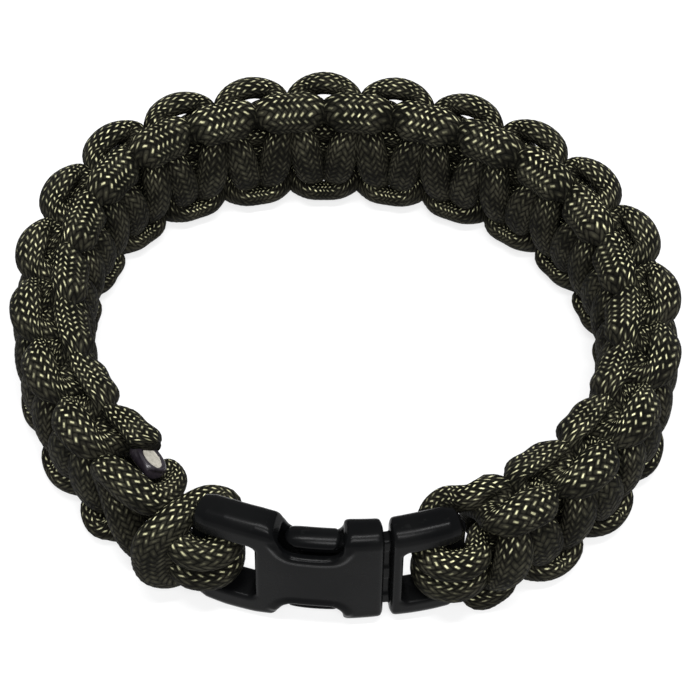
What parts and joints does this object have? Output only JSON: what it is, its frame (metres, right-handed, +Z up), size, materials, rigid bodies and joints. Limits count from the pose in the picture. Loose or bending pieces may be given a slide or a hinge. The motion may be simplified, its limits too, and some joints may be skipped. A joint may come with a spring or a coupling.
{
  "type": "paracord bracelet",
  "caption": "Woven cord bracelet in a flat cobra weave, closed round an oval by a small contoured side release buckle that the cord is looped onto at both ends.",
  "frame": {"origin": "on the surface that the bracelet rests on, under the middle of its box", "axes": "+Z up along the wrist's axis, from one woven edge to the other; the buckle faces -Y, its socket at -X and its plug at +X"},
  "size_m": [0.0831, 0.0769, 0.018],
  "materials": {
    "cord": "braided",
    "buckle_plastic": "satin"
  },
  "bodies": {
    "root": {"buckle_socket": "buckle_plastic", "buckle_plug": "buckle_plastic", "core_cord": "cord", "outer_cord": "cord", "inner_cord": "cord"}
  },
  "joints": []
}
